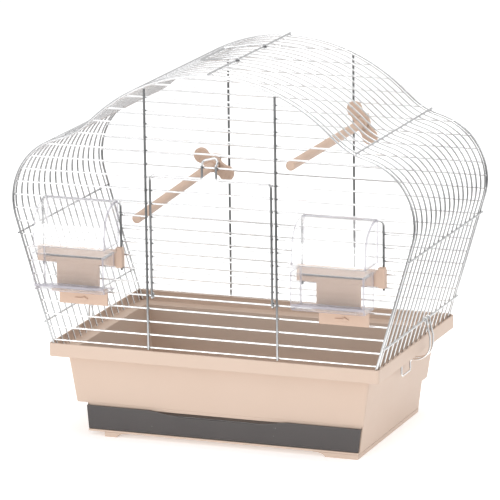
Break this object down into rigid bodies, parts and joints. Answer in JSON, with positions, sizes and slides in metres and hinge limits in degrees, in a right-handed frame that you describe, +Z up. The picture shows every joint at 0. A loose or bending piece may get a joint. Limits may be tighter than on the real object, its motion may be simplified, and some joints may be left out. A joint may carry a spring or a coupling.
{
  "type": "bird cage",
  "caption": "Wire bird cage on a beige plastic base with a pull-out drawer, drop-down wire door, two clear feeders, perches, side clips and a folding handle.",
  "frame": {"origin": "on the floor under the middle of the width and of the whole depth, feeders and perches included", "axes": "+X to the right along the width, +Y from the door to the back, +Z up"},
  "size_m": [0.446, 0.286, 0.4024],
  "materials": {
    "beige_plastic": "satin moulded, warm beige",
    "smoked_plastic": "smoked grey, smooth",
    "zinc_wire": "bright galvanised wire",
    "tan_plastic": "satin moulded, pinkish tan",
    "clear_plastic": "clear with a faint lilac tint"
  },
  "bodies": {
    "cage": {"base_tray": "beige_plastic", "front_outline": "zinc_wire", "front_bars": "zinc_wire", "front_jambs": "zinc_wire", "port_frame_left": "zinc_wire", "port_frame_right": "zinc_wire", "back_outline": "zinc_wire", "back_bars": "zinc_wire", "back_uprights": "zinc_wire", "arch_wires": "zinc_wire", "top_cross_wire": "zinc_wire", "valley_cross_wires": "zinc_wire", "upper_cross_wires": "zinc_wire", "lower_cross_wires": "zinc_wire", "feeder_bracket_left": "tan_plastic", "feeder_bracket_right": "tan_plastic", "feeder_hood_left": "clear_plastic", "feeder_hood_right": "clear_plastic"},
    "drawer": {"drawer": "smoked_plastic"},
    "door": {"door_frame": "zinc_wire", "door_bars": "zinc_wire"},
    "handle": {"carry_handle": "zinc_wire"},
    "clip_left": {"side_clip_left": "zinc_wire"},
    "clip_right": {"side_clip_right": "zinc_wire"},
    "cup_left": {"feeder_cup_left": "clear_plastic"},
    "cup_right": {"feeder_cup_right": "clear_plastic"},
    "perch_left": {"perch_rod_left": "tan_plastic", "perch_wing_left": "tan_plastic", "perch_lock_left": "tan_plastic"},
    "perch_right": {"perch_rod_right": "tan_plastic", "perch_wing_right": "tan_plastic", "perch_lock_right": "tan_plastic"}
  },
  "joints": [
    {"name": "drawer_slide", "type": "slide", "parent": "cage", "child": "drawer", "axis": [0, -1, 0], "range_m": [0, 0.19]},
    {"name": "door_hinge", "type": "hinge", "parent": "cage", "child": "door", "pos_m": [0, -0.09828, 0.15952], "axis": [1, 0, 0], "range_deg": [0, 155]},
    {"name": "handle_hinge", "type": "hinge", "parent": "cage", "child": "handle", "pos_m": [0, 0.01947, 0.3983], "axis": [0, 1, 0], "range_deg": [0, 185]},
    {"name": "clip_left_hinge", "type": "hinge", "parent": "cage", "child": "clip_left", "pos_m": [-0.18862, 0.03442, 0.12283], "axis": [0, 1, 0], "range_deg": [0, 100]},
    {"name": "clip_right_hinge", "type": "hinge", "parent": "cage", "child": "clip_right", "pos_m": [0.18862, 0.03442, 0.12283], "axis": [0, -1, 0], "range_deg": [0, 100]},
    {"name": "cup_left_slide", "type": "slide", "parent": "cage", "child": "cup_left", "axis": [0, -1, 0], "range_m": [0, 0.045]},
    {"name": "cup_right_slide", "type": "slide", "parent": "cage", "child": "cup_right", "axis": [0, -1, 0], "range_m": [0, 0.045]},
    {"name": "perch_left_twist", "type": "hinge", "parent": "cage", "child": "perch_left", "pos_m": [-0.0866, 0.13554, 0.25072], "axis": [0, -0.9985, -0.0541], "range_deg": [0, 90]},
    {"name": "perch_right_twist", "type": "hinge", "parent": "cage", "child": "perch_right", "pos_m": [0.0842, 0.13588, 0.30684], "axis": [0, -1, -0.0052], "range_deg": [0, 90]}
  ]
}
